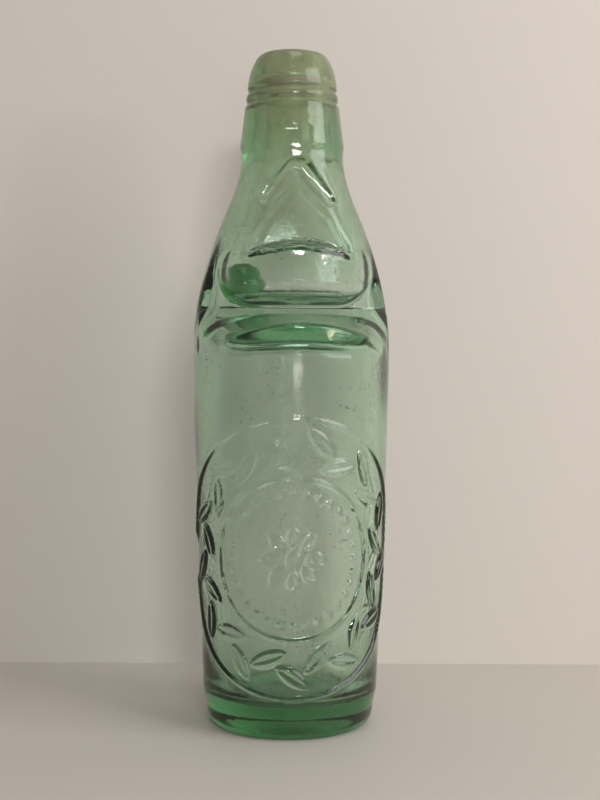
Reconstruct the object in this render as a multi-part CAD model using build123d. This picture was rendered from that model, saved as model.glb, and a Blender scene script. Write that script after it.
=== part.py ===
from build123d import *
import math
import os

os.makedirs("parts", exist_ok=True)

# Marble stopper bottle, in millimetres. It stands on Z = 0 with its axis on Z.
# The front faces -Y and carries the two slanted dents and the ornament. The pinch is front and back.

# Foot and body, outside. Each height is the rise from the level below it.
body_radius = 32.5
bearing_inset = 4.6
bearing_width = 3.4
push_up_height = 2.6
heel_corner_inset = 2.3
heel_corner_rise = 1.7
heel_belly_inset = 1.1
heel_belly_rise = 5.1
heel_top_rise = 6.2
taper_gain = 2.8
taper_rise = 77.0
body_gain = 0.5
body_rise = 22.0

# Shoulder and neck, outside
shoulder_inset = 0.3
shoulder_rise = 21.0
upper_shoulder_inset = 3.5
upper_shoulder_rise = 18.5
neck_flare_share = 0.51
neck_flare_rise = 16.1
neck_rise = 21.6

# Applied lip: a tapered collar with two creases round it, and a rounded crown
collar_step = 0.5
collar_step_rise = 2.0
collar_draw_in = 2.35
collar_rise = 18.9
crease_drops = (4.4, 0.7)
crease_depth = 0.4
crease_width = 0.8
crown_belly_inset = 0.65
crown_belly_rise = 4.5
crown_shoulder_inset = 2.35
crown_shoulder_rise = 4.6
crown_top_inset = 5.35
crown_top_rise = 2.8

# Glass thickness, measured level
body_wall = 4.6
upper_shoulder_wall = 5.4
neck_flare_wall = 6.0
neck_wall = 7.0
lip_wall = 8.5

# Floor of the inside
floor_thickness = 9.6
floor_rise = 1.4
floor_corner_width = 4.7
floor_corner_rise = 5.4

# Marble, and the rubber ring that it seals on
marble_radius = 7.5
marble_end_gap = 0.7
marble_rest_gap = 0.05
marble_seat_gap = 0.25
ring_section_radius = 1.75
ring_overhang = 1.05
ring_drop = 9.5
groove_clearance = 0.15

# Throat under the ring, and the mouth over it
throat_clearance = 0.8
throat_rise = 8.8
mouth_undersize = 0.9
mouth_rounding = 2.4

# The pinch: a groove turned under the chamber, front and back, as deep as a flat web across the bottle
pinch_half_gap = 5.6
pinch_wall = 4.8
bowl_rise = 5.5
bowl_inset = 1.4
bowl_rounding = 11.5
bowl_inner_rounding = 4.4
groove_opening = 1.0
ledge_angle = 13.3
web_crease_inset = 11.7
web_facet_angle = 22.8
ridge_rounding = 1.6
groove_rim_rounding = 2.0
ridge_rim_rounding = 3.0

# Two flat facets that meet in a ridge down the front of the neck, with a shelf under them
facet_turn_angle = 3.0
facet_lean_angle = 6.0
facet_inset = 2.8
facet_wall = 5.4
shelf_drop = 11.0
shelf_angle = 22.8
shelf_wall = 1.5

# Two slanted dents in the front of the neck, whose inner sides are the lugs that catch the marble
dent_section_radius = 4.6
dent_depth = 2.1
dent_wall = 4.6
dent_apex_offset = 2.9
dent_foot_offset = 9.8
dent_foot_rise = 6.4
dent_rise = 8.0

# Ornament that stands up from the front of the body: two rings, a wreath of leaves and a rosette
ornament_rise = 45.5
ornament_relief = 0.6
ornament_rings = (44.4, 25.8)
ring_line_radius = 0.7
ring_line_steps = 16
leaf_count = 26
leaf_circle = 35.1
leaf_stagger = 2.5
leaf_tilt_angle = 34.0
leaf_length = 12.5
leaf_width = 4.6
petal_count = 8
petal_circle = 6.9
petal_length = 7.1
petal_width = 4.4
boss_radius = 2.6

overrun = 4.0
halvings = 40

# Levels, from the foot up
heel_corner_height = heel_corner_rise
heel_belly_height = heel_corner_height + heel_belly_rise
heel_top_height = heel_belly_height + heel_top_rise
taper_top_height = heel_top_height + taper_rise
body_height = taper_top_height + body_rise
shoulder_height = body_height + shoulder_rise
upper_shoulder_height = shoulder_height + upper_shoulder_rise
neck_flare_height = upper_shoulder_height + neck_flare_rise
neck_top_height = neck_flare_height + neck_rise
throat_height = neck_top_height + throat_rise
collar_low_height = neck_top_height + collar_step_rise
collar_top_height = collar_low_height + collar_rise
crown_belly_height = collar_top_height + crown_belly_rise
crown_shoulder_height = crown_belly_height + crown_shoulder_rise
overall_height = crown_shoulder_height + crown_top_rise
ring_height = overall_height - ring_drop
ornament_height = heel_top_height + ornament_rise
dent_foot_height = neck_flare_height + dent_foot_rise
dent_apex_height = dent_foot_height + dent_rise


def between(low_height, low_radius, high_height, high_radius, height):
    """Radius at a height on the straight line between two points of the outline."""
    share = (height - low_height) / (high_height - low_height)
    return low_radius + (high_radius - low_radius) * share


# The throat lets the marble through, the mouth stops it, and the neck is glass enough round both
throat_radius = marble_radius + throat_clearance
mouth_radius = marble_radius - mouth_undersize
ring_centre_radius = throat_radius - ring_overhang
neck_radius = throat_radius + lip_wall
collar_radius = neck_radius + collar_step
collar_top_radius = collar_radius - collar_draw_in

# Radii of the body and the shoulder
taper = (taper_gain, taper_rise)
taper_top_radius = body_radius - body_gain
heel_top_radius = taper_top_radius - taper_gain
shoulder_radius = body_radius - shoulder_inset
upper_shoulder_radius = shoulder_radius - upper_shoulder_inset
neck_flare_radius = neck_radius + (upper_shoulder_radius - neck_radius) * neck_flare_share

# The marble rests on the two ridges inside the pinch, at one end of the chamber
bowl_radius = upper_shoulder_radius - bowl_inset
bowl_height = shoulder_height + bowl_rise
web_half = pinch_half_gap + pinch_wall
web_crease_reach = shoulder_radius - web_crease_inset
ridge_centre_depth = pinch_half_gap + ridge_rounding
ridge_centre_height = bowl_height + pinch_wall - ridge_rounding
marble_rest_height = ridge_centre_height + math.sqrt(
    (marble_radius + ridge_rounding + marble_rest_gap) ** 2 - ridge_centre_depth**2
)
chamber_radius = between(
    shoulder_height,
    shoulder_radius - body_wall,
    upper_shoulder_height,
    upper_shoulder_radius - upper_shoulder_wall,
    marble_rest_height,
)
marble_roll = chamber_radius - marble_radius - marble_end_gap

# It rises to the ring on one long arc
marble_seat_height = ring_height - math.sqrt(
    (marble_radius + ring_section_radius + marble_seat_gap) ** 2 - ring_centre_radius**2
)
marble_rise = marble_seat_height - marble_rest_height
arc_radius = (marble_roll**2 + marble_rise**2) / (2 * marble_roll)
arc_angle = math.degrees(math.asin(marble_rise / arc_radius))


def side_radius(height):
    """Outside radius on the straight taper of the body."""
    return between(heel_top_height, heel_top_radius, taper_top_height, taper_top_radius, height)


ornament_radius = side_radius(ornament_height)


def lip_radius(height):
    """Outside radius on the taper of the collar."""
    return between(collar_low_height, collar_radius, collar_top_height, collar_top_radius, height)


def shoulder_outline():
    """The sweep from the body's taper over the shoulder and up the neck, outside."""
    return Spline(
        (taper_top_radius, taper_top_height),
        (body_radius, body_height),
        (shoulder_radius, shoulder_height),
        (upper_shoulder_radius, upper_shoulder_height),
        (neck_flare_radius, neck_flare_height),
        (neck_radius, neck_top_height),
        tangents=[taper, (0, 1)],
    )


def neck_outside_radius(height):
    """Outside radius of the neck, found on the outline by halving."""
    outline = shoulder_outline()
    low, high = 0, 1
    for _ in range(halvings):
        middle = (low + high) / 2
        if outline.position_at(middle).Y < height:
            low = middle
        else:
            high = middle
    return outline.position_at(low).X


def turned(edges):
    """Solid turned about the bottle's axis from an outline of radius and height."""
    return revolve(Plane.XZ * make_face(edges), Axis.Z, 360)


def lip_outline():
    """The taper of the collar, with its creases, from its lower edge to the foot of the crown."""
    points = [(collar_radius, collar_low_height)]
    for drop in crease_drops:
        height = collar_top_height - drop
        low = height - crease_width / 2
        high = height + crease_width / 2
        points.append((lip_radius(low), low))
        points.append((lip_radius(height) - crease_depth, height))
        points.append((lip_radius(high), high))
    points.append((collar_top_radius, collar_top_height))
    return Polyline(*points)


def outside_form():
    """The bottle as one full solid, before it is pressed or hollowed."""
    bearing_radius = heel_top_radius - bearing_inset
    push_up_edge = bearing_radius - bearing_width
    collar_slope = (-collar_draw_in, collar_rise)
    push_up = TangentArc((0, push_up_height), (push_up_edge, 0), tangent=(1, 0))
    bearing = Line((push_up_edge, 0), (bearing_radius, 0))
    heel = Spline(
        (bearing_radius, 0),
        (heel_top_radius - heel_corner_inset, heel_corner_height),
        (heel_top_radius - heel_belly_inset, heel_belly_height),
        (heel_top_radius, heel_top_height),
        tangents=[(1, 0), taper],
    )
    side = Line((heel_top_radius, heel_top_height), (taper_top_radius, taper_top_height))
    collar_edge = Line((neck_radius, neck_top_height), (collar_radius, collar_low_height))
    crown = Spline(
        (collar_top_radius, collar_top_height),
        (collar_top_radius - crown_belly_inset, crown_belly_height),
        (collar_top_radius - crown_shoulder_inset, crown_shoulder_height),
        (collar_top_radius - crown_top_inset, overall_height),
        tangents=[collar_slope, (-1, 0)],
    )
    top = Line((collar_top_radius - crown_top_inset, overall_height), (0, overall_height))
    axis = Line((0, overall_height), (0, push_up_height))
    return turned([push_up, bearing, heel, side, shoulder_outline(), collar_edge, lip_outline(), crown, top, axis])


def inside_form():
    """The hollow as one full solid: body, chamber, neck, throat, ring groove and mouth."""
    wall_foot_height = floor_thickness + floor_corner_rise
    wall_foot_radius = side_radius(wall_foot_height) - body_wall
    floor_edge = (wall_foot_radius - floor_corner_width, floor_thickness)
    floor_centre = (0, floor_thickness + floor_rise)
    floor = TangentArc(floor_centre, floor_edge, tangent=(1, 0))
    corner = Spline(floor_edge, (wall_foot_radius, wall_foot_height), tangents=[(1, 0), taper])
    side = Line((wall_foot_radius, wall_foot_height), (taper_top_radius - body_wall, taper_top_height))
    shoulder = Spline(
        (taper_top_radius - body_wall, taper_top_height),
        (body_radius - body_wall, body_height),
        (shoulder_radius - body_wall, shoulder_height),
        (upper_shoulder_radius - upper_shoulder_wall, upper_shoulder_height),
        (neck_flare_radius - neck_flare_wall, neck_flare_height),
        (neck_radius - neck_wall, neck_top_height),
        (throat_radius, throat_height),
        tangents=[taper, (0, 1)],
    )
    throat = Line((throat_radius, throat_height), (throat_radius, ring_height))
    ledge = Line((throat_radius, ring_height), (mouth_radius, ring_height))
    rounding_height = overall_height - mouth_rounding
    flare_radius = mouth_radius + mouth_rounding
    mouth = Line((mouth_radius, ring_height), (mouth_radius, rounding_height))
    flare = TangentArc((mouth_radius, rounding_height), (flare_radius, overall_height), tangent=(0, 1))
    above = Polyline(
        (flare_radius, overall_height),
        (flare_radius, overall_height + overrun),
        (0, overall_height + overrun),
        floor_centre,
    )
    hollow = turned([floor, corner, side, shoulder, throat, ledge, mouth, flare, above])
    groove = Pos(0, 0, ring_height) * Torus(ring_centre_radius, ring_section_radius + groove_clearance)
    return hollow + groove


def groove_outline(wall, corner):
    """Section of the pinch's groove, grown by a wall: the ledge below, the bowl above, open to the outside."""
    slope = math.tan(math.radians(ledge_angle))
    reach = body_radius + overrun
    start = (web_half - wall) / 2
    front = bowl_radius - wall
    floor = bowl_height + wall
    top = neck_flare_height
    root = bowl_height - groove_opening - wall / math.cos(math.radians(ledge_angle))
    low_start = root + slope * (web_half - start)
    low_end = root + slope * (web_half - reach)
    return [
        Line((start, low_start), (start, floor)),
        Line((start, floor), (front - corner, floor)),
        TangentArc((front - corner, floor), (front, floor + corner), tangent=(1, 0)),
        Polyline((front, floor + corner), (front, top), (reach, top), (reach, low_end), (start, low_start)),
    ]


def web(wall):
    """The flat web that the grooves leave across the bottle, whose ends two facets make narrower."""
    half = web_half - wall
    end = half - (body_radius - web_crease_reach) * math.tan(math.radians(web_facet_angle))
    front = [(-body_radius, end), (-web_crease_reach, half), (web_crease_reach, half), (body_radius, end)]
    back = [(-x, -y) for x, y in front]
    outline = make_face(Polyline(*front, *back, close=True))
    return Pos(0, 0, body_height) * extrude(outline, neck_top_height - body_height)


def pinched(form, wall, corner, rim_rounding):
    """A full form with the groove turned into it and its two rims rounded, and with the web put back."""
    tool = turned(groove_outline(wall, corner))
    grooved = form - tool
    rims = new_edges(form, tool, combined=grooved)
    return grooved.fillet(rim_rounding, rims) + (form & web(wall))


def on_ridge(edge, depth, level):
    """Whether an edge is a straight one at a depth in front of or behind the axis, and at a level."""
    middle = edge.position_at(0.5)
    straight = edge.geom_type == GeomType.LINE
    return straight and math.isclose(abs(middle.Y), depth) and math.isclose(middle.Z, level)


def pinched_inside():
    """The hollow with the pinch in it, and with the two ridges that carry the marble made round."""
    hollow = pinched(inside_form(), pinch_wall, bowl_inner_rounding, ridge_rim_rounding)
    ridges = [edge for edge in hollow.edges() if on_ridge(edge, pinch_half_gap, bowl_height + pinch_wall)]
    return hollow.fillet(ridge_rounding, ridges)


def facet(side, wall, shelf):
    """What is cut away in front of one facet of the neck and above its shelf, grown by walls."""
    reach = body_radius + overrun
    depth = neck_flare_radius - facet_inset - wall
    lean = math.tan(math.radians(facet_lean_angle))
    rise = neck_top_height - neck_flare_height
    fall = shelf_drop + shelf
    low_depth = depth + lean * fall
    low = neck_flare_height - fall
    high = neck_flare_height + rise
    far_low = low + (reach - low_depth) * math.tan(math.radians(shelf_angle))
    outline = Polyline(
        (low_depth, low),
        (reach, far_low),
        (reach, high),
        (depth - lean * rise, high),
        close=True,
    )
    block = extrude(Plane.YZ * make_face(outline), reach, both=True)
    turn = Pos(0, depth, 0) * Rot(0, 0, side * facet_turn_angle) * Pos(0, -depth, 0)
    return Rot(0, 0, 180) * turn * block


def facets(wall, shelf):
    """Both facets, which meet in the ridge down the front."""
    return [facet(side, wall, shelf) for side in (-1, 1)]


def dent(side, thickness):
    """One slanted dent as a round-ended bar that bites into the neck, grown by a thickness."""

    def axis_point(offset_x, height):
        radius = neck_outside_radius(height) + dent_section_radius - dent_depth
        return Vector(side * offset_x, -math.sqrt(radius**2 - offset_x**2), height)

    apex = axis_point(dent_apex_offset, dent_apex_height)
    foot = axis_point(dent_foot_offset, dent_foot_height)
    along = foot - apex
    section = dent_section_radius + thickness
    bar = Plane(origin=(apex + foot) / 2, z_dir=along) * Cylinder(section, along.length)
    return bar + Pos(apex) * Sphere(section) + Pos(foot) * Sphere(section)


def dents(thickness):
    """Both dents, which meet at the top and spread apart below."""
    return [dent(side, thickness) for side in (-1, 1)]


def on_front(around, up):
    """Plane that lies on the front of the body, at a place measured round it and up it from the ornament's middle."""
    height = ornament_height + up
    radius = side_radius(height)
    angle = around / ornament_radius
    out = (math.sin(angle), -math.cos(angle), 0)
    return Plane(origin=(radius * out[0], radius * out[1], height), x_dir=(math.cos(angle), math.sin(angle), 0), z_dir=out)


def ring_line(radius, start_angle):
    """Half of a thin round line that is bent into a ring on the body's front."""
    places = []
    for i in range(ring_line_steps + 1):
        angle = math.radians(start_angle + 180 * i / ring_line_steps)
        places.append(on_front(radius * math.cos(angle), radius * math.sin(angle)).origin)
    path = Spline(*places)
    section = Plane(origin=path @ 0, z_dir=path % 0) * Circle(ring_line_radius)
    return sweep(section, path)


def leaf(around, up, turn, length, width):
    """A leaf with two pointed ends, as thick as the body's skin."""
    bow = (length**2 + width**2) / (4 * width)
    edge = Circle(bow)
    outline = (Pos(bow - width / 2, 0) * edge) & (Pos(width / 2 - bow, 0) * edge)
    return on_front(around, up) * Rot(0, 0, turn) * extrude(outline, overrun, both=True)


def ornament():
    """The ornament's solids, which end at one skin above the wall."""
    skin = turned([Polyline(
        (0, heel_top_height),
        (heel_top_radius + ornament_relief, heel_top_height),
        (taper_top_radius + ornament_relief, taper_top_height),
        (0, taper_top_height),
        close=True,
    )])
    shapes = []
    for i in range(leaf_count):
        angle = 360 * i / leaf_count
        side = 1 if i % 2 else -1
        circle = leaf_circle + side * leaf_stagger
        around = circle * math.sin(math.radians(angle))
        up = circle * math.cos(math.radians(angle))
        shapes.append(leaf(around, up, 90 - angle - side * leaf_tilt_angle, leaf_length, leaf_width))
    for i in range(petal_count):
        angle = 360 * i / petal_count
        around = petal_circle * math.sin(math.radians(angle))
        up = petal_circle * math.cos(math.radians(angle))
        shapes.append(leaf(around, up, -angle, petal_length, petal_width))
    shapes.append(on_front(0, 0) * extrude(Circle(boss_radius), overrun, both=True))
    raised = [shape & skin for shape in shapes]
    return raised + [ring_line(radius, start) for radius in ornament_rings for start in (0, 180)]


def glass():
    """The whole bottle in glass, lip included, because the lip is fused on."""
    outside = pinched(outside_form(), 0, bowl_rounding, groove_rim_rounding)
    inside = pinched_inside()
    for mark in facets(0, 0) + dents(0):
        outside -= mark
    for lug in facets(facet_wall, shelf_wall) + dents(dent_wall):
        inside -= lug
    for shape in ornament():
        outside += shape
    return outside - inside


def marble():
    """The glass ball, resting on the two ridges at one end of its trough."""
    return Pos(-marble_roll, 0, marble_rest_height) * Sphere(marble_radius)


def sealing_ring():
    """The rubber ring in its groove in the lip."""
    return Pos(0, 0, ring_height) * Torus(ring_centre_radius, ring_section_radius)


pieces = {
    "glass_bottle": glass(),
    "marble": marble(),
    "sealing_ring": sealing_ring(),
}

for name, piece in pieces.items():
    export_step(piece, f"parts/{name}.step")

print(f"marble rests at x {-marble_roll:.3f}, z {marble_rest_height:.3f}")
print(f"marble seats at z {marble_seat_height:.3f}")
print(f"arc radius {arc_radius:.3f}, angle {arc_angle:.3f}, pivot x {-arc_radius:.3f}")
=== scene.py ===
# %% [markdown]
# # Marble stopper bottle
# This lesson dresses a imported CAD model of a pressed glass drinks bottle. A loose glass marble is held in
# a chamber over a pinch in the glass, and it seals upwards on a rubber ring inside the lip.
# The frame gives the place of every piece in metres, so everything made here lands on it with no fitting.

# %% Load the frame
import math
from types import SimpleNamespace

import bmesh
import bpy
import numpy as np
from mathutils import Matrix, Vector


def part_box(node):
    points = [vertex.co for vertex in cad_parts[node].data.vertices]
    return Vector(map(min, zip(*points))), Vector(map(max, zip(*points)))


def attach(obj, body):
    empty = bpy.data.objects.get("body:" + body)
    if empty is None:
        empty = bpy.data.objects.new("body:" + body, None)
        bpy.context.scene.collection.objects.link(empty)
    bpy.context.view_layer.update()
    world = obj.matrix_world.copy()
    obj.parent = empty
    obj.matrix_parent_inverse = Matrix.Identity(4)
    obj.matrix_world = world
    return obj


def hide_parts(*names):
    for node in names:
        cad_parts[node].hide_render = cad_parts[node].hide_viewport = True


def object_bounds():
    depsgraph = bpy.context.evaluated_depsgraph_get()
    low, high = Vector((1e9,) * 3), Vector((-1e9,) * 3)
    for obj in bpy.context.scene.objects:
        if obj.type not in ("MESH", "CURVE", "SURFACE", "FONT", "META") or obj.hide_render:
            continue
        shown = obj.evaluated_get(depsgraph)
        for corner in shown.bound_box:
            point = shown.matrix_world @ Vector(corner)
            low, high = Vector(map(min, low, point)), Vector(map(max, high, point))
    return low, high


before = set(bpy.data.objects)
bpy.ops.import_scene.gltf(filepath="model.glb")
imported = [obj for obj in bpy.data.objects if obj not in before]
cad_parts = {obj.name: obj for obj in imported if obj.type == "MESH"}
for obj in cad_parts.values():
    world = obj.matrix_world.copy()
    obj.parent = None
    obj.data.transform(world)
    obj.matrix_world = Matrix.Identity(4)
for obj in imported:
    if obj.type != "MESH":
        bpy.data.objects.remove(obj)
cad_low, cad_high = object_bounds()
print("CAD box in metres:", tuple(cad_low), tuple(cad_high))

# %% [markdown]
# ## Units and small helpers
# A bottle is drawn in millimetres, and Blender works in metres. All outlines below stay in millimetres
# and are scaled once, when a mesh is made. A clamped cubic spline draws the swept stretches of an
# outline: it goes through a few points and leaves each end in a given direction, as a bent batten does.

# %% Helpers for outlines
MM = 0.001


def unit(direction):
    """The direction with a length of one."""
    direction = np.array(direction, float)
    return direction / np.linalg.norm(direction)


def swept(points, start, end, count=400):
    """Many points along a cubic spline through a few points, with the directions of its two ends."""
    points = np.array(points, float)
    chords = np.linalg.norm(np.diff(points, axis=0), axis=1)
    knots = np.concatenate([[0], np.cumsum(chords)])
    system = np.eye(len(points))
    known = np.zeros_like(points)
    known[0] = unit(start)
    known[-1] = unit(end)
    for i in range(1, len(points) - 1):
        before, after = chords[i - 1], chords[i]
        system[i, i - 1:i + 2] = after, 2 * (before + after), before
        rise_before = (points[i] - points[i - 1]) / before
        rise_after = (points[i + 1] - points[i]) / after
        known[i] = 3 * (after * rise_before + before * rise_after)
    slopes = np.linalg.solve(system, known)
    along = np.linspace(0, knots[-1], count)
    span = np.clip(np.searchsorted(knots, along, side="right") - 1, 0, len(chords) - 1)
    t = ((along - knots[span]) / chords[span])[:, None]
    length = chords[span][:, None]
    return (
        (2 * t**3 - 3 * t**2 + 1) * points[span]
        + (t**3 - 2 * t**2 + t) * length * slopes[span]
        + (3 * t**2 - 2 * t**3) * points[span + 1]
        + (t**3 - t**2) * length * slopes[span + 1]
    )


def straight(*points, count=60):
    """Many points along straight lines."""
    points = np.array(points, float)
    pieces = [
        np.linspace(a, b, count, endpoint=False) for a, b in zip(points[:-1], points[1:])
    ]
    return np.concatenate(pieces + [points[-1:]])


def arc(centre, radius, start_degrees, end_degrees, count=60):
    """Many points along an arc."""
    angles = np.radians(np.linspace(start_degrees, end_degrees, count))
    return np.array(centre) + radius * np.stack([np.cos(angles), np.sin(angles)], axis=1)


def smoothstep(low, high, value):
    """0 below low, 1 above high, and a soft step in between."""
    t = np.clip((value - low) / (high - low), 0, 1)
    return t * t * (3 - 2 * t)


# %% [markdown]
# ## The bottle's outlines
# The bottle is turned about its axis before it is pinched, so two outlines of radius and height hold
# nearly all of it. The outside runs from the middle of the push-up under the foot to the rim. The inside
# runs from the rim down the mouth, round the groove that holds the rubber ring, down the throat that
# the marble passes, through the neck, the chamber and the body, to the middle of the floor.

# %% Outside outline, radius and height in millimetres
push_up_height = 2.6
push_up_edge = 21.2
foot_edge = 24.6
heel_curve = [(26.9, 1.7), (28.1, 6.8)]
heel_top = (29.2, 13.0)
taper_top = (32.0, 90.0)
shoulder_curve = [(32.5, 112.0), (32.2, 133.0), (28.7, 151.5), (22.87, 167.6)]
neck_top = (16.95, 188.6)
collar_foot = (17.25, 191.6)
collar_top = (14.95, 210.1)
crown_curve = [(14.3, 214.6), (12.6, 219.2)]
crown_edge = 9.6
overall_height = 222.0
crease_heights = (205.7, 209.4)
crease_depth = 0.8
crease_width = 0.7

taper = np.subtract(taper_top, heel_top)
collar_slope = np.subtract(collar_top, collar_foot)
push_up_centre = (push_up_height**2 - push_up_edge**2) / (2 * push_up_height)
push_up_radius = push_up_height - push_up_centre
push_up_angle = math.degrees(math.acos(push_up_edge / push_up_radius))

shoulder = swept([taper_top, *shoulder_curve, neck_top], taper, (0, 1), count=1200)
outside = [
    arc((0, push_up_centre), push_up_radius, 90, push_up_angle),
    straight((push_up_edge, 0), (foot_edge, 0)),
    swept([(foot_edge, 0), *heel_curve, heel_top], (1, 0), taper),
    straight(heel_top, taper_top, count=400),
    shoulder,
    straight(neck_top, collar_foot),
    straight(collar_foot, collar_top, count=300),
    swept([collar_top, *crown_curve, (crown_edge, overall_height)], collar_slope, (-1, 0)),
]

# %% Inside outline, radius and height in millimetres
mouth_radius = 6.6
mouth_rounding = 2.4
groove_centre = (7.25, 212.5)
groove_radius = 1.9
throat_radius = 8.3
throat_top = 198.0
neck_inside = [(9.8, 189.2), (16.87, 167.6), (23.3, 151.5), (27.6, 133.0), (27.9, 112.0)]
floor_corner = (23.2, 16.5)
floor_edge = (19.0, 10.2)
floor_height = 11.0
floor_slope = (-1, 0.14)
inner_taper_top = (27.4, 90.0)
thick_wall_top = (27.0, 56.0)
thick_wall_low = (25.4, 32.0)
body_inside = [inner_taper_top, thick_wall_top, thick_wall_low, floor_corner, floor_edge]

mouth_flare_centre = (mouth_radius + mouth_rounding, overall_height - mouth_rounding)
groove_low = math.degrees(math.acos((throat_radius - groove_centre[0]) / groove_radius))
groove_high = math.degrees(math.acos((mouth_radius - groove_centre[0]) / groove_radius))
groove_bottom = groove_centre[1] - groove_radius * math.sin(math.radians(groove_low))
groove_top = groove_centre[1] + groove_radius * math.sin(math.radians(groove_high))

inside = [
    straight((crown_edge, overall_height), (mouth_flare_centre[0], overall_height), count=4),
    arc(mouth_flare_centre, mouth_rounding, 90, 180),
    straight((mouth_radius, mouth_flare_centre[1]), (mouth_radius, groove_top)),
    arc(groove_centre, groove_radius, groove_high, -groove_low),
    straight((throat_radius, groove_bottom), (throat_radius, throat_top)),
    swept([(throat_radius, throat_top), *neck_inside, inner_taper_top], (0, -1), -taper, count=1200),
    swept(body_inside, -taper, (-1, 0), count=800),
    swept([floor_edge, (0, floor_height)], floor_slope, (-1, 0)),
]
print("outlines:", sum(map(len, outside)), "points outside and", sum(map(len, inside)), "inside")

# %% [markdown]
# ## Rows and columns of the glass
# The mesh is a stack of rings. Rows are close together where the surface turns quickly, as at the pinch
# and the lip, and far apart on plain walls. The front of the body carries a pressed ornament, so the
# rings there have extra columns on the front only. Where two rings have different columns, a zip of
# triangles joins them.

# %% Row spacing and column counts
# Each pair is a height and the distance between rows below it
outside_spacing = [
    (0.5, 1.2), (13.0, 0.7), (104.5, 0.5), (124.0, 1.0), (128.5, 0.5), (137.8, 0.26), (138.9, 0.12),
    (140.5, 0.06), (143.0, 0.15), (155.0, 0.4), (160.5, 0.2), (190.0, 0.45), (203.5, 0.7), (211.0, 0.16),
    (overall_height + 1, 0.5),
]
inside_spacing = [
    (10.5, 1.4), (16.0, 0.7), (118.0, 2.4), (126.0, 0.8), (142.0, 0.3), (145.5, 0.12), (151.0, 0.3),
    (190.0, 0.5), (209.0, 1.2), (overall_height + 1, 0.3),
]
ornament_low, ornament_high = 12.0, 105.0
ornament_half_angle = math.radians(86)
ornament_step = math.radians(0.9)
back_step = math.radians(4)
foot_count, chamber_count, neck_count = 140, 220, 150
neck_low = 166
inside_count, inside_pinch_count = 110, 150
inside_pinch_low, inside_pinch_high = 120, 190

front_columns = np.arange(-ornament_half_angle, ornament_half_angle, ornament_step)
back_columns = np.arange(ornament_half_angle, 2 * math.pi - ornament_half_angle, back_step)
ornament_columns = np.concatenate([front_columns, back_columns])


def even_columns(count):
    """Angles evenly round the bottle, from the front."""
    return np.arange(count) * 2 * math.pi / count - ornament_half_angle


def outside_columns(height):
    """The angles of an outside ring at a height."""
    if ornament_low <= height <= ornament_high:
        return ornament_columns
    if height < ornament_low:
        return even_columns(foot_count)
    return even_columns(chamber_count if height < neck_low else neck_count)


def inside_columns(height):
    """The angles of an inside ring at a height."""
    pinched = inside_pinch_low < height < inside_pinch_high
    return even_columns(inside_pinch_count if pinched else inside_count)


def spacing_at(height, table):
    """The wanted distance between rows at a height."""
    return next(step for top, step in table if height <= top)


def rows(stretch, table):
    """Places along one stretch of an outline, closer where the table asks, with both ends kept."""
    lengths = np.linalg.norm(np.diff(stretch, axis=0), axis=1)
    middles = (stretch[1:, 1] + stretch[:-1, 1]) / 2
    steps = np.array([spacing_at(height, table) for height in middles])
    travelled = np.concatenate([[0], np.cumsum(lengths / steps)])
    wanted = np.linspace(0, travelled[-1], max(2, round(travelled[-1]) + 1))
    return np.stack([np.interp(wanted, travelled, stretch[:, k]) for k in (0, 1)], axis=1)


def outline_rows(stretches, table):
    """Rows of a whole outline, with no row twice."""
    kept = [rows(stretches[0], table)]
    for stretch in stretches[1:]:
        kept.append(rows(stretch, table)[1:])
    return np.concatenate(kept)


# %% [markdown]
# ## The pinch, the panel and the dents
# While the glass is soft, tongs pinch its front and its back. They leave a flat web with a slit inside it
# that is too narrow for the marble. Above the web hangs the marble's chamber, round like a bowl, and
# below it a ledge slopes out to the body. A second tool flattens the front of the neck to two facets
# that end in a shelf, and two slanted dents at their top make the lugs inside. The inside follows the
# outside at the wall's distance. Cutting such forms with booleans would leave hard edges, so each tool
# is a distance here, and a point of the turned wall moves straight in along Y until it is clear of all.

# %% Tools that press the glass, in millimetres
web_half = 11.4
web_crease = 20.5
facet_fall = 0.42
bowl_floor = 137.5
bowl_radius = 28.3
ledge_root = 138.3
ledge_slope = 0.236
ledge_droop = 3.8
droop_half_width = 18.0
side_start, side_end = 19.0, 27.0
side_soft = 1.5
rim_reach = 32.4

facet_turn = math.radians(3.5)
facet_lean = math.tan(math.radians(8.5))
facet_depth = 21.8
facet_height = 160.0
shelf_height = 155.6
shelf_slope = 1.0
shelf_rows = 1.2
shelf_rows_share = 0.4
shelf_blend_height = 172.0
ledge_soft_top, ledge_soft_low = ledge_root + 6, ledge_root - 2
edge_steps = 40
halvings = 26

dent_radius = 3.2
dent_wall = 4.6
dent_apex = (1.2, 183.2)
dent_apex_depth = 2.5
dent_foot = (10.6, 173.6)
dent_foot_depth = 1.5

# How the outside and the inside follow the tools: distances from them, and how softly corners turn
outer_form = SimpleNamespace(
    wall=0.0, rounding=1.0, bowl_corner=12.5, ledge_wall=0.0, rim_soft=1.0, ledge_soft=1.0,
    panel_wall=0.0, panel_rounding=0.3, shelf_wall=0.0, dent_reach=dent_radius, dent_soft=0.4, overhang=True,
)
inner_form = SimpleNamespace(
    wall=2.8, rounding=2.0, bowl_corner=9.8, ledge_wall=3.0, rim_soft=2.0, ledge_soft=4.0,
    panel_wall=3.5, panel_rounding=2.5, shelf_wall=-5.0, dent_reach=dent_radius + dent_wall, dent_soft=1.5,
    overhang=False,
)

# %% [markdown]
# ## How far a place is from a tool
# Each distance is negative in the space that a tool takes up, and positive in the glass behind it. Such
# distances join with a maximum or a minimum, and one less a wall's thickness gives the inside's surface.
# The dents are the simplest: a distance from the middle line of a round bar.

# %% Distances from the tools


def rounded_corner(a, b):
    """Distance from a corner that is open where both are negative, round outside it."""
    outside_corner = np.hypot(np.maximum(a, 0), np.maximum(b, 0))
    return outside_corner + np.minimum(np.maximum(a, b), 0)


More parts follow.
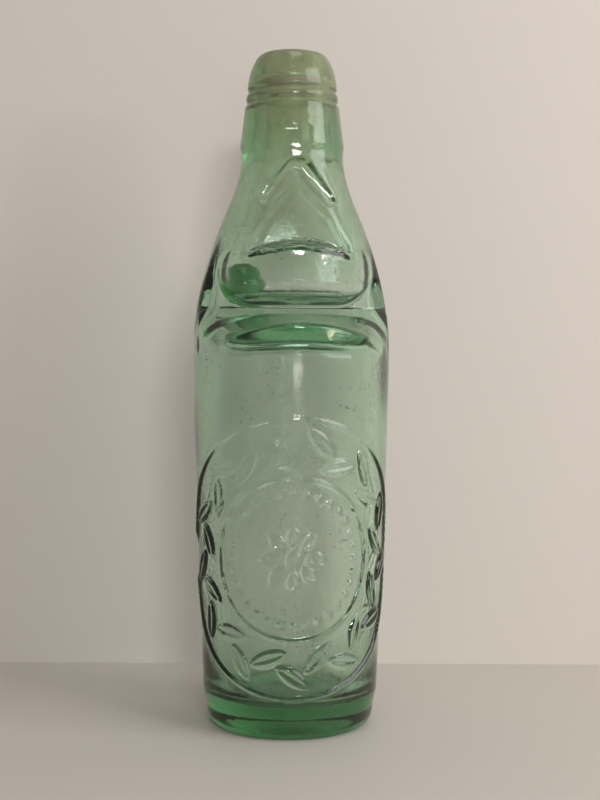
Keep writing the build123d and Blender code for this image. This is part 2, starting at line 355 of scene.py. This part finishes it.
def bowl_depth(radius, height, corner):
    """How deep a place lies inside the chamber's bowl, by radius and height."""
    across = radius - (bowl_radius - corner)
    under = bowl_floor + corner - height
    return corner - rounded_corner(across, under)


def web_half_at(across):
    """Half the web's thickness at a place across it."""
    return np.minimum(web_half, web_half - facet_fall * (across - web_crease))


def ledge_depth(points):
    """How deep a place lies under the ledge below the web."""
    start = web_half_at(points[:, 0])
    rim = np.sqrt(np.maximum(rim_reach**2 - points[:, 0] ** 2, 0))
    share = np.clip((points[:, 1] - start) / np.maximum(rim - start, 1), 0, 1)
    droop = ledge_droop * (points[:, 0] / droop_half_width) ** 2 * share
    surface = ledge_root - ledge_slope * (points[:, 1] - start) - droop
    return (surface - points[:, 2]) / math.hypot(1, ledge_slope)


def web_depth(points):
    """How deep a place lies inside the web, behind its flat front or its side facets."""
    beside = web_half - facet_fall * (points[:, 0] - web_crease) - points[:, 1]
    return np.minimum(web_half - points[:, 1], beside / math.hypot(1, facet_fall))


def pinch_distance(points, form):
    """Distance from the space that the tongs leave, for |x|, |y| and z, less a wall."""
    bowl = bowl_depth(np.hypot(points[:, 0], points[:, 1]), points[:, 2], form.bowl_corner)
    groove = np.maximum(bowl, ledge_depth(points) - form.ledge_wall)
    return rounded_corner(groove - form.wall, web_depth(points) - form.wall)


def shelf_height_at(depth):
    """Height of the shelf at a depth in front of the axis."""
    return shelf_height + shelf_slope * (depth - facet_depth)


def panel_distance(points, form):
    """Distance from the space in front of the neck's two facets and above their shelf."""
    front = np.maximum(-points[:, 1], 0)
    level = front * math.cos(facet_turn) + points[:, 0] * math.sin(facet_turn)
    facet = facet_depth - facet_lean * (points[:, 2] - facet_height) - level
    shelf = (shelf_height_at(front) - points[:, 2]) / math.hypot(1, shelf_slope)
    return rounded_corner(facet / math.hypot(1, facet_lean) - form.panel_wall, shelf - form.shelf_wall)


def outline_radius(outline, height):
    """Radius of an outline at a height, from rows that begin with a radius and a height."""
    return np.interp(height, outline[:, 1], outline[:, 0])


def dent_end(offset, height, depth):
    """The middle of one end of a dent's bar, for |x|, y and z."""
    reach = outline_radius(shoulder, height) + dent_radius - depth
    return np.array([offset, -math.sqrt(reach**2 - offset**2), height])


def dent_distance(points):
    """Distance from the middle line of the dents' bars, for |x|, y and z."""
    start, end = dent_end(*dent_apex, dent_apex_depth), dent_end(*dent_foot, dent_foot_depth)
    along = end - start
    share = np.clip((points - start) @ along / (along @ along), 0, 1)
    return np.linalg.norm(points - start - share[:, None] * along, axis=1)


# %% [markdown]
# ## Pressing the wall
# A point keeps its place across the bottle and its height, and halving an interval finds the depth at
# which it is clear of every tool. Only the shelf needs more: it hangs over the foot of the facets, so
# one height has two depths there, and the rows are laid along it instead.

# %% Press the wall


def soft_max(a, b, rounding):
    """The larger of two distances, rounded where they meet."""
    overlap = np.maximum(rounding - np.abs(a - b), 0) / rounding
    return np.maximum(a, b) + overlap**2 * rounding / 4


def facet_depth_at(across, height):
    """Depth of a facet in front of the axis."""
    reach = facet_depth - facet_lean * (height - facet_height) - across * math.sin(facet_turn)
    return reach / math.cos(facet_turn)


def shelf_ends(across, outline):
    """Height and depth of the shelf's outer edge and of its root, at places across it."""
    edge_height = np.full_like(across, shelf_height)
    root_height = np.full_like(across, shelf_height)
    for _ in range(edge_steps):
        edge_depth = np.sqrt(np.maximum(outline_radius(outline, edge_height) ** 2 - across**2, 0))
        edge_height = (edge_height + shelf_height_at(edge_depth)) / 2
        root_depth = facet_depth_at(across, root_height)
        root_height = (root_height + shelf_height_at(root_depth)) / 2
    return edge_height, edge_depth, root_height, root_depth


def pressed_depth(across, side, height, far, outline, form):
    """Depth of the surface at places across and up it, no further out than a given depth."""
    under = smoothstep(ledge_soft_top, ledge_soft_low, height)
    soft = form.rim_soft + (form.ledge_soft - form.rim_soft) * under
    soft = soft + side_soft * smoothstep(side_start, side_end, across)
    radius = outline_radius(outline, height)
    slope = np.interp(height, outline[:, 1], outline[:, 2])
    low, high = np.zeros_like(far), far.copy()
    for _ in range(halvings):
        middle = (low + high) / 2
        here = np.stack([across, middle, height], axis=1)
        air = (np.hypot(across, middle) - radius) * slope
        air = soft_max(air, form.rounding - pinch_distance(here, form), soft)
        here[:, 1] *= side
        air = soft_max(air, form.panel_rounding - panel_distance(here, form), form.dent_soft)
        air = soft_max(air, form.dent_reach - dent_distance(here), form.dent_soft)
        high = np.where(air > 0, middle, high)
        low = np.where(air > 0, low, middle)
    return (low + high) / 2


def press(points, outline, form):
    """Moves points of a turned surface in along Y to where the tools have pushed it.

    The rows just above the shelf's edge are laid along it, and the rows over them are moved down to start
    at its root.
    """
    side = np.sign(points[:, 1])
    far = np.abs(points[:, 1])
    across = np.abs(points[:, 0])
    height = points[:, 2]
    if not form.overhang:
        depth = pressed_depth(across, side, height, far, outline, form)
        return np.stack([points[:, 0], side * depth, height], axis=1)
    edge_height, edge_depth, root_height, root_depth = shelf_ends(across, outline)
    length = np.maximum(edge_depth - root_depth, 0)
    rows_high = np.minimum(shelf_rows, length * shelf_rows_share)
    climbed = height - edge_height
    in_front = (side < 0) & (length > 0)
    on_shelf = in_front & (climbed > 0) & (climbed < rows_high)
    over_shelf = in_front & (climbed >= rows_high) & (height < shelf_blend_height)
    low_end = edge_height + rows_high
    share = (height - low_end) / (shelf_blend_height - low_end)
    height = np.where(over_shelf, root_height + share * (shelf_blend_height - root_height), height)
    pocket = root_depth + (height - root_height) / shelf_slope
    far = np.where(over_shelf, np.minimum(far, pocket), far)
    depth = pressed_depth(across, side, height, far, outline, form)
    share = np.clip(climbed / np.maximum(rows_high, 1e-6), 0, 1)
    depth = np.where(on_shelf, edge_depth + share * (root_depth - edge_depth), depth)
    height = np.where(on_shelf, edge_height + share * (root_height - edge_height), height)
    return np.stack([points[:, 0], side * depth, height], axis=1)


# %% [markdown]
# ## The pressed ornament
# Such bottles carry raised ornament from the mould on the front of the body. This one has two plain
# rings, a wreath of leaves between them, and a rosette in a circle of beads. The ornament is a height
# above the wall, worked out from the distance to each shape, so the glass itself bends the light over it.

# %% Ornament heights, in millimetres
ornament_centre_height = 58.5
ornament_turn = math.radians(-5)
ring_radii = (44.4, 25.8)
ring_width = 0.85
relief_height = 0.9
leaf_count = 26
leaf_circle = 35.1
leaf_length, leaf_width = 12.5, 4.6
leaf_tilt = math.radians(34)
leaf_swing = 2.5
rib_depth, rib_width, rib_margin = 0.7, 0.5, 0.6
petal_count = 8
petal_reach, petal_width = 10.5, 4.4
petal_start = 3.4
petal_hollow, petal_rim, petal_middle = 0.6, 0.9, 1.6
bead_count = 32
bead_circle, bead_radius, bead_height = 21.0, 0.95, 0.9
boss_radius = 2.6
relief_edge = 0.38


def plateau(distance):
    """Height of a flat-topped form whose edge lies where the distance is zero."""
    return 1 - smoothstep(-relief_edge, relief_edge, distance)


def leaf_distance(across, along, length, width):
    """Distance from the edge of a leaf with two pointed ends, negative inside."""
    bow = (length**2 / 4 + width**2 / 4) / width
    return np.hypot(along, np.abs(across) + bow - width / 2) - bow


def turned_to(u, v, angle):
    """Places across and along a direction."""
    return u * math.cos(angle) - v * math.sin(angle), u * math.sin(angle) + v * math.cos(angle)


def ornament(u, v):
    """Height of the ornament at places measured round the wall and up it from its centre."""
    radius = np.hypot(u, v)
    height = np.zeros_like(u)
    for ring in ring_radii:
        height = np.maximum(height, plateau(np.abs(radius - ring) - ring_width / 2))
    for i in range(leaf_count):
        angle = 2 * math.pi * i / leaf_count
        swing = leaf_swing if i % 2 else -leaf_swing
        tilt = leaf_tilt if i % 2 else -leaf_tilt
        across, along = turned_to(u, v, angle)
        across, along = turned_to(across, along - leaf_circle - swing, math.pi / 2 + tilt)
        inside_leaf = leaf_distance(across, along, leaf_length, leaf_width)
        rib = rib_depth * np.exp(-((across / rib_width) ** 2)) * (inside_leaf < -rib_margin)
        height = np.maximum(height, plateau(inside_leaf) - rib)
    for i in range(petal_count):
        across, along = turned_to(u, v, 2 * math.pi * i / petal_count)
        middle = (petal_reach + petal_start) / 2
        petal = leaf_distance(across, along - middle, petal_reach - petal_start, petal_width)
        hollow = petal_hollow * (petal < -petal_rim) * smoothstep(-petal_rim, -petal_middle, petal)
        height = np.maximum(height, plateau(petal) - hollow)
    for i in range(bead_count):
        across, along = turned_to(u, v, 2 * math.pi * i / bead_count)
        bead = np.hypot(across, along - bead_circle) - bead_radius
        height = np.maximum(height, plateau(bead) * bead_height)
    return np.maximum(height, plateau(radius - boss_radius))


# %% [markdown]
# ## Waves in the glass
# Old pressed glass is never quite even. A few long waves move each surface a little, more on the
# inside, which only met air, than on the outside, which met the mould.

# %% Waves
rng = np.random.default_rng(7)
outer_wave_height, outer_wave_length = 0.05, 22
inner_wave_height, inner_wave_length = 0.22, 30
still_lip = (200, 190)
still_floor = (10, 25)


def waves(points, length, count=14):
    """A smooth, uneven height between about -1 and 1 whose waves have about the given length."""
    directions = rng.normal(size=(count, 3))
    directions /= np.linalg.norm(directions, axis=1)[:, None]
    lengths = length * rng.uniform(0.7, 1.6, count)
    phases = rng.uniform(0, 2 * math.pi, count)
    turns = points @ (directions / lengths[:, None]).T * 2 * math.pi
    return np.sin(turns + phases).sum(axis=1) / math.sqrt(count)


# %% [markdown]
# ## Rings and faces
# Every row of an outline becomes a ring of points, and faces join each ring to the next. A mesh made
# ring by ring is closed and has no stray faces, which booleans on such thin creases could leave.

# %% Helpers for the mesh


def ring_points(rows_of_outline, columns_at):
    """Points of every ring of an outline, with their radii, slopes and the number in each ring."""
    spots, radii, slopes, counts, angles = [], [], [], [], []
    directions = np.gradient(rows_of_outline, axis=0)
    directions /= np.linalg.norm(directions, axis=1)[:, None]
    for (radius, height), direction in zip(rows_of_outline, directions):
        columns = columns_at(height)
        spots.append(np.stack([
            radius * np.sin(columns),
            -radius * np.cos(columns),
            np.full(len(columns), height),
        ], axis=1))
        radii.append(np.full(len(columns), radius))
        slopes.append(np.full(len(columns), abs(direction[1])))
        counts.append(len(columns))
        angles.append(columns)
    return [np.concatenate(part) for part in (spots, radii, slopes)] + [counts, angles]


def zip_rings(first, second, first_angles, second_angles):
    """Faces between two rings: squares where their columns match, and a zip of triangles otherwise."""
    n, m = len(first), len(second)
    if n == m:
        return [(first[i], first[(i + 1) % n], second[(i + 1) % n], second[i]) for i in range(n)]
    faces = []
    i = j = 0
    full = 2 * math.pi
    while i < n or j < m:
        next_first = first_angles[(i + 1) % n] + full * ((i + 1) // n)
        next_second = second_angles[(j + 1) % m] + full * ((j + 1) // m)
        if j >= m or (i < n and next_first <= next_second):
            faces.append((first[i % n], first[(i + 1) % n], second[j % m]))
            i += 1
        else:
            faces.append((first[i % n], second[(j + 1) % m], second[j % m]))
            j += 1
    return faces


def add_mesh(name, points, faces):
    """A smooth mesh object from points in millimetres."""
    mesh = bpy.data.meshes.new(name)
    mesh.from_pydata((np.asarray(points) * MM).tolist(), [], faces)
    mesh.validate()
    mesh.polygons.foreach_set("use_smooth", [True] * len(mesh.polygons))
    piece = bpy.data.objects.new(name, mesh)
    bpy.context.scene.collection.objects.link(piece)
    return piece


# %% [markdown]
# ## The glass itself
# The rings are pressed first. Then ornament, waves and creases move the outside along its radius, never
# past the CAD box, and waves move the inside. A fan of triangles closes the mesh at the middle of the
# push-up, and another at the middle of the floor.

# %% Build the glass bottle
outer_rows = outline_rows(outside, outside_spacing)[1:]
inner_rows = outline_rows(inside, inside_spacing)[1:-1]

outer, outer_radii, outer_slopes, outer_counts, outer_angles = ring_points(outer_rows, outside_columns)
inner, inner_radii, inner_slopes, inner_counts, inner_angles = ring_points(inner_rows, inside_columns)

pressed_zone = (112.0, 196.0)
for points, radii, slopes, form in (
    (outer, outer_radii, outer_slopes, outer_form),
    (inner, inner_radii, inner_slopes, inner_form),
):
    zone = (points[:, 2] > pressed_zone[0]) & (points[:, 2] < pressed_zone[1])
    heights, first = np.unique(points[zone, 2], return_index=True)
    outline = np.stack([radii[zone][first], heights, slopes[zone][first]], axis=1)
    points[zone] = press(points[zone], outline, form)

outward = outer[:, :2] / np.maximum(np.linalg.norm(outer[:, :2], axis=1), 1e-9)[:, None]
crease = sum(np.exp(-(((outer[:, 2] - z) / crease_width) ** 2)) for z in crease_heights)
turn = np.arctan2(outer[:, 0], -outer[:, 1]) - ornament_turn
raised = ornament(turn * outer_radii, outer[:, 2] - ornament_centre_height) * relief_height
raised *= (outer[:, 2] > ornament_low) & (outer[:, 2] < ornament_high)
room = cad_high.x / MM - outer_radii
uneven = outer_wave_height * (waves(outer, outer_wave_length) - 1)
outer[:, :2] += outward * (np.minimum(raised + uneven, room) - crease_depth * crease)[:, None]

inward = inner[:, :2] / np.maximum(np.linalg.norm(inner[:, :2], axis=1), 1e-9)[:, None]
free_wall = smoothstep(*still_lip, inner[:, 2]) * smoothstep(*still_floor, inner[:, 2])
inner[:, :2] += inward * (inner_wave_height * waves(inner, inner_wave_length) * free_wall)[:, None]

glass_points = np.concatenate([[(0, 0, push_up_height)], outer, inner, [(0, 0, floor_height)]])
glass_faces = []
start = 1
rings = []
for count in outer_counts + inner_counts:
    rings.append(np.arange(start, start + count).tolist())
    start += count
angles = outer_angles + inner_angles
last = len(glass_points) - 1
glass_faces += [(0, rings[0][(i + 1) % len(rings[0])], rings[0][i]) for i in range(len(rings[0]))]
for first, second, first_angles, second_angles in zip(rings[:-1], rings[1:], angles[:-1], angles[1:]):
    glass_faces += zip_rings(first, second, first_angles, second_angles)
glass_faces += [(rings[-1][i], rings[-1][(i + 1) % len(rings[-1])], last) for i in range(len(rings[-1]))]
bottle = add_mesh("bottle", glass_points, glass_faces)
triangles = sum(len(face) - 2 for face in glass_faces)
print("glass:", len(rings), "rings,", len(glass_points), "points,", triangles, "triangles")

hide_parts("glass_bottle")
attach(bottle, "bottle")

# %% [markdown]
# ## Shader helpers
# A finish is easier to read as a sum than as boxes and wires. `Signal` wraps a socket, and its
# operators add Math nodes. `Finish.node` makes every other node: its settings are set first, because
# they can change its sockets, and then each socket gets a value or a link.

# %% Signal


class Signal:
    """The output of a node, which can be used in sums."""

    def __init__(self, finish, socket):
        self.finish = finish
        self.socket = socket

    def combine(self, operation, first, second):
        return self.finish.node("ShaderNodeMath", {"operation": operation}, {0: first, 1: second})

    def __add__(self, other):
        return self.combine("ADD", self, other)

    def __radd__(self, other):
        return self.combine("ADD", other, self)

    def __rsub__(self, other):
        return self.combine("SUBTRACT", other, self)

    def __mul__(self, other):
        return self.combine("MULTIPLY", self, other)

    def __rmul__(self, other):
        return self.combine("MULTIPLY", other, self)


# %% Finish


class Finish:
    """A material whose nodes are made one by one."""

    def __init__(self, name):
        self.material = bpy.data.materials.new(name)
        self.material.use_nodes = True
        self.tree = self.material.node_tree
        self.tree.nodes.clear()

    def node(self, kind, settings=None, inputs=None, output=0):
        """A node with its settings and sockets set, as the signal of one of its outputs."""
        made = self.tree.nodes.new(kind)
        for name, value in (settings or {}).items():
            setattr(made, name, value)
        for name, value in (inputs or {}).items():
            if isinstance(value, Signal):
                self.tree.links.new(value.socket, made.inputs[name])
            else:
                made.inputs[name].default_value = value
        return Signal(self, made.outputs[output])

    def position(self):
        """Place on the piece, in millimetres."""
        place = self.node("ShaderNodeTexCoord", output="Object")
        return self.node("ShaderNodeVectorMath", {"operation": "SCALE"}, {0: place, "Scale": 1 / MM})

    def noise(self, place, scale, detail=2.0, roughness=0.5):
        """Soft noise between 0 and 1."""
        return self.node(
            "ShaderNodeTexNoise", None,
            {"Vector": place, "Scale": scale, "Detail": detail, "Roughness": roughness},
        )

    def between(self, value, low, high):
        """0 below low, 1 above high, and a soft step in between."""
        return self.node(
            "ShaderNodeMapRange", {"interpolation_type": "SMOOTHSTEP"},
            {"Value": value, "From Min": low, "From Max": high},
        )

    def mix(self, share, first, second):
        """The first colour where the share is 0, and the second where it is 1."""
        return self.node(
            "ShaderNodeMix", {"data_type": "RGBA"}, {"Factor": share, "A": first, "B": second}, "Result"
        )

    def bump(self, height, strength, distance):
        """Small relief from a height, with its depth in metres."""
        return self.node(
            "ShaderNodeBump", None, {"Height": height, "Strength": strength, "Distance": distance}
        )

    def finish(self, surface, volume=None):
        """Connects the surface, and a volume if there is one."""
        end = self.tree.nodes.new("ShaderNodeOutputMaterial")
        self.tree.links.new(surface.socket, end.inputs["Surface"])
        if volume:
            self.tree.links.new(volume.socket, end.inputs["Volume"])
        print("finish:", self.material.name, "with", len(self.tree.nodes), "nodes")
        return self.material


def colour(red, green, blue):
    """A colour from the 0 to 255 values of a screen, as light."""
    parts = [value / 255 for value in (red, green, blue)]
    return tuple(p / 12.92 if p <= 0.04045 else ((p + 0.055) / 1.055) ** 2.4 for p in parts) + (1.0,)


# %% [markdown]
# ## Sea-green glass
# The colour of thick bottle glass is in its depth: the walls are nearly clear and the base is dark green.
# A tint on the surface would colour both alike. So the surface is colourless glass, and a Volume
# Absorption node inside it takes out red most, then blue. The surface adds age: an olive stain on the
# lip, dark pits in patches, fine ripples, and a thin dull film, thickest where the glass is tinted. It also
# carries painted shade: a weaker olive tint that fades down the neck stands in for the wall's shadow seen
# through the glass. A Mix Shader lays the film over the glass.

# %% Bottle glass
lip_stain_heights = (188.0, 213.0)
# The neck's olive tint is painted shade, standing in for the wall's shadow seen through the glass
neck_shade_heights = (150.0, 180.0)
lip_stain_strength, neck_shade_strength = 0.75, 0.32
speck_scale = 0.5
speck_edge = (0.11, 0.21)
film_everywhere, film_on_stain_and_shade = 0.02, 0.3

glass = Finish("bottle_glass")
place = glass.position()
height = glass.node("ShaderNodeSeparateXYZ", None, {0: place}, output="Z")
blotches = glass.between(glass.noise(place, scale=0.13, detail=4.0, roughness=0.6), 0.2, 0.7)
lip_stain = glass.between(height, *lip_stain_heights) * (0.5 + 0.5 * blotches)
# Painted shade: an olive tint over the neck that copies the wall's shadow seen through the glass
neck_painted_shade = glass.between(height, *neck_shade_heights) * blotches
lip_stain_and_neck_shade = lip_stain * lip_stain_strength + neck_painted_shade * neck_shade_strength
speck_field = glass.node(
    "ShaderNodeTexVoronoi", {"feature": "F1"}, {"Vector": place, "Scale": speck_scale, "Randomness": 1.0},
    output="Distance",
)
speck_patch = glass.between(glass.noise(place, scale=0.05), 0.52, 0.62)
specks = (1 - glass.between(speck_field, *speck_edge)) * speck_patch
# The olive colour is a real stain on the lip and painted shade on the neck
clean = glass.mix(lip_stain_and_neck_shade, colour(255, 255, 255), colour(208, 204, 154))
surface_colour = glass.mix(specks * 0.9, clean, colour(50, 62, 42))
ripples = glass.bump(glass.noise(place, scale=0.9, detail=3.0), strength=0.16, distance=0.0003)
clear_surface = glass.node(
    "ShaderNodeBsdfPrincipled", None,
    {
        "Base Color": surface_colour,
        "Roughness": 0.015 + lip_stain * 0.16 + specks * 0.3,
        "Transmission Weight": 1.0,
        "IOR": 1.5,
        "Normal": ripples,
    },
)
film_surface = glass.node(
    "ShaderNodeBsdfPrincipled", None, {"Base Color": colour(188, 190, 156), "Roughness": 0.7}
)
# The film is thicker on the lip's stain and on the neck's painted shade
film_share = film_everywhere + lip_stain_and_neck_shade * film_on_stain_and_shade
glass_surface = glass.node("ShaderNodeMixShader", None, {0: film_share, 1: clear_surface, 2: film_surface})
glass_depth = glass.node(
    "ShaderNodeVolumeAbsorption", None, {"Color": (0.133, 0.633, 0.30, 1.0), "Density": 60.0}
)
bottle.data.materials.append(glass.finish(glass_surface, glass_depth))

# %% [markdown]
# ## The marble
# The marble is a solid glass ball, darker than the bottle. A hand-made one is a little out of round.

# %% Build the marble
marble_low, marble_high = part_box("marble")
marble_centre = (marble_low + marble_high) / 2
marble_radius = (marble_high.x - marble_low.x) / 2

ball_wave_height, ball_wave_length = 0.004, 9

ball = bpy.data.meshes.new("marble_ball")
shape = bmesh.new()
bmesh.ops.create_icosphere(shape, subdivisions=6, radius=marble_radius)
spots = np.array([v.co for v in shape.verts])
dips = 1 - ball_wave_height * (waves(spots / MM, ball_wave_length) + 1)
for vertex, dip in zip(shape.verts, dips):
    vertex.co = Vector(vertex.co) * float(dip) + marble_centre
for face in shape.faces:
    face.smooth = True
shape.to_mesh(ball)
shape.free()
marble = bpy.data.objects.new("glass_marble", ball)
bpy.context.scene.collection.objects.link(marble)
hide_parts("marble")
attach(marble, "marble")
print("marble: radius", marble_radius, "m round", tuple(marble_centre))

marble_finish = Finish("marble_glass")
place = marble_finish.position()
wear = marble_finish.noise(place, scale=0.4, detail=3.0)
dimples = marble_finish.noise(place, scale=0.8, detail=3.0)
marble_surface = marble_finish.node(
    "ShaderNodeBsdfPrincipled", None,
    {
        "Base Color": (1, 1, 1, 1),
        "Roughness": 0.03 + 0.05 * wear,
        "Transmission Weight": 1.0,
        "IOR": 1.5,
        "Normal": marble_finish.bump(dimples, strength=0.2, distance=0.0003),
    },
)
marble_depth = marble_finish.node(
    "ShaderNodeVolumeAbsorption", None, {"Color": (0.30, 0.70, 0.38, 1.0), "Density": 290.0}
)
marble.data.materials.append(marble_finish.finish(marble_surface, marble_depth))

# %% [markdown]
# ## The rubber ring
# The ring is the CAD node itself, with the finish of old rubber: ochre, dull, and a little cracked.

# %% Rubber ring
rubber = Finish("ring_rubber")
place = rubber.position()
cracks = rubber.noise(place, scale=1.6, detail=5.0, roughness=0.7)
ageing = rubber.noise(place, scale=0.4, detail=3.0)
rubber_surface = rubber.node(
    "ShaderNodeBsdfPrincipled", None,
    {
        "Base Color": rubber.mix(ageing, colour(150, 132, 78), colour(98, 84, 48)),
        "Roughness": 0.6 + 0.25 * cracks,
        "Normal": rubber.bump(cracks, strength=0.6, distance=0.0002),
    },
)
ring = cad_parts["sealing_ring"]
ring.data.materials.clear()
ring.data.materials.append(rubber.finish(rubber_surface))
ring.data.polygons.foreach_set("use_smooth", [True] * len(ring.data.polygons))
print("ring:", len(ring.data.polygons), "faces")

# %% [markdown]
# ## Floor and wall
# The bottle stands on a pale floor, close to a pale wall, and the glass shows both. The wall has only a
# front: seen from behind it is clear, so that the bottle can be looked at from every side.

# %% Stage
wall_distance = 0.080
stage_reach = 2.0
floor_drop = 0.00002


def stage_plane(name, corners, finish):
    """A flat part of the stage."""
    mesh = bpy.data.meshes.new(name)
    mesh.from_pydata(corners, [], [(0, 1, 2, 3)])
    plane = bpy.data.objects.new(name, mesh)
    bpy.context.scene.collection.objects.link(plane)
    plane.data.materials.append(finish)


floor_finish = Finish("floor_paint")
floor_surface = floor_finish.node(
    "ShaderNodeBsdfPrincipled", None, {"Base Color": colour(200, 193, 184), "Roughness": 0.6}
)
floor_paint = floor_finish.finish(floor_surface)
wall_finish = Finish("wall_paint")
wall_front = wall_finish.node(
    "ShaderNodeBsdfPrincipled", None, {"Base Color": colour(208, 201, 193), "Roughness": 0.8}
)
wall_back = wall_finish.node("ShaderNodeBsdfTransparent")
seen_from_behind = wall_finish.node("ShaderNodeNewGeometry", output="Backfacing")
wall_paint = wall_finish.finish(
    wall_finish.node("ShaderNodeMixShader", None, {0: seen_from_behind, 1: wall_front, 2: wall_back})
)

camera_turn = math.radians(-7)
camera_right = Vector((math.cos(camera_turn), math.sin(camera_turn), 0))
camera_back = Vector((math.sin(camera_turn), -math.cos(camera_turn), 0))
wall_foot = -camera_back * wall_distance
side = camera_right * stage_reach
up = Vector((0, 0, stage_reach))
wall_left, wall_right = wall_foot - side, wall_foot + side
stage_plane("wall", [wall_left, wall_right, wall_right + up, wall_left + up], wall_paint)
corner_signs = ((-1, -1), (1, -1), (1, 1), (-1, 1))
floor_corners = [(x * stage_reach, y * stage_reach, -floor_drop) for x, y in corner_signs]
stage_plane("floor", floor_corners, floor_paint)

# %% [markdown]
# ## Camera
# The camera stands where the photographer's did: 442 mm from the bottle's axis and 123 mm above the
# floor, looking down by two degrees, and seven degrees round from the bottle's front.

# %% Camera
image_height = 800
focal_pixels = 1320
camera_distance = 0.4418
camera_height = 0.1227
camera_pitch = math.radians(1.95)
camera_roll = math.radians(0.25)
axis_shift = 0.0030

camera_data = bpy.data.cameras.new("camera")
camera_data.sensor_width = 36.0
camera_data.lens = camera_data.sensor_width * focal_pixels / image_height
camera_data.clip_start = 0.01
camera = bpy.data.objects.new("camera", camera_data)
bpy.context.scene.collection.objects.link(camera)
camera_foot = camera_back * camera_distance + camera_right * axis_shift
camera.location = camera_foot + Vector((0, 0, camera_height))
camera.rotation_mode = "QUATERNION"
turn_to_level = Matrix.Rotation(camera_turn, 4, "Z") @ Matrix.Rotation(math.pi / 2 - camera_pitch, 4, "X")
camera.rotation_quaternion = (turn_to_level @ Matrix.Rotation(camera_roll, 4, "Z")).to_quaternion()
bpy.context.scene.camera = camera
print("camera: lens", camera_data.lens, "mm at", tuple(camera.location))

# %% [markdown]
# ## Light
# A key lamp to the right of the camera throws the bottle's shadow on the wall, which then shows through
# the glass as a darker stretch. A wide window and a ceiling lamp grade the wall, and two small lamps are
# there for their glints: smooth glass mirrors a lamp's own shape, so each lamp is as wide and as high as
# its glint should be. The room's own light fills the rest.

# %% Lamps and world
light_aim = Vector((0, 0, 0.11))


def lamp(name, azimuth, elevation, distance, size, watts, tint):
    """An area lamp that looks at the bottle's middle, placed round it from the camera's side."""
    data = bpy.data.lights.new(name, "AREA")
    data.shape = "RECTANGLE"
    data.size, data.size_y = size
    data.energy = watts
    data.color = tint
    turn, rise = camera_turn + math.radians(azimuth), math.radians(elevation)
    way = Vector((math.sin(turn) * math.cos(rise), -math.cos(turn) * math.cos(rise), math.sin(rise)))
    light = bpy.data.objects.new(name, data)
    light.location = light_aim + way * distance
    light.rotation_mode = "QUATERNION"
    light.rotation_quaternion = (-way).to_track_quat("-Z", "Y")
    bpy.context.scene.collection.objects.link(light)
    print("lamp:", name, watts, "W at", tuple(light.location))


lamp("key", 10, 17, 1.4, (0.28, 0.12), 5.6, (1.0, 0.99, 0.99))
lamp("side_window", 60, 25, 0.8, (0.5, 0.5), 3.6, (0.99, 0.99, 1.0))
lamp("ceiling", 20, 78, 1.4, (0.5, 0.5), 2.7, (1.0, 0.99, 0.97))
lamp("low_lamp", 8, -1, 1.2, (0.18, 0.014), 0.5, (1.0, 0.98, 0.95))
lamp("warm_lamp", 46, 9, 1.2, (0.08, 0.03), 0.6, (1.0, 0.72, 0.42))

world = bpy.data.worlds.new("room")
world.use_nodes = True
bpy.context.scene.world = world
background = world.node_tree.nodes["Background"]
background.inputs["Color"].default_value = colour(204, 203, 202)
background.inputs["Strength"].default_value = 0.34
bpy.context.scene.view_settings.view_transform = "Standard"
